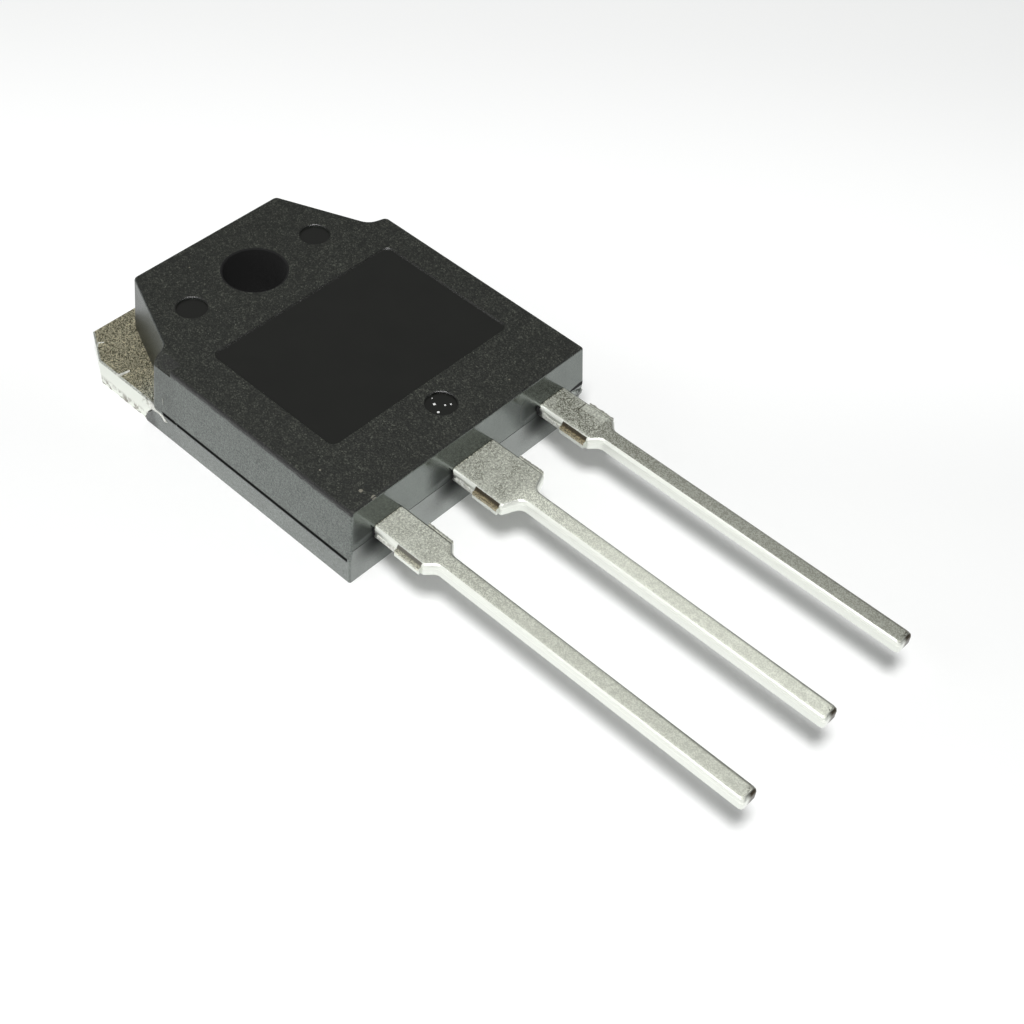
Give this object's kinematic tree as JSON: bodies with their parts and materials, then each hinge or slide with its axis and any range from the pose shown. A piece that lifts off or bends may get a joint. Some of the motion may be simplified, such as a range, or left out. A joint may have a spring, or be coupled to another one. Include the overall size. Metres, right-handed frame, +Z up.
{
  "type": "through-hole power transistor",
  "caption": "Flat black moulded power transistor with a shouldered neck, a mounting hole, exposed metal wings at the back and long straight leads.",
  "frame": {"origin": "centre of the mounting hole at the metal back face", "axes": "+Z up through the case from the metal back, -Y along the leads, +X across towards the source lead"},
  "size_m": [0.0156, 0.0399, 0.0048],
  "materials": {
    "epoxy": "charcoal epoxy, spark-textured on top and polished on the walls",
    "tinned_copper": "matt tin plating, fine grained, with smooth sheared edges",
    "silicon": "bare, smooth",
    "solder": "dull, reflowed",
    "bond_wire": "drawn, satin"
  },
  "bodies": {
    "root": {"moulded_case": "epoxy", "heat_spreader": "tinned_copper", "gate_lead": "tinned_copper", "source_lead": "tinned_copper", "silicon_chip": "silicon", "chip_solder": "solder", "gate_wire": "bond_wire", "source_wire_inner": "bond_wire", "source_wire_outer": "bond_wire"}
  },
  "joints": []
}
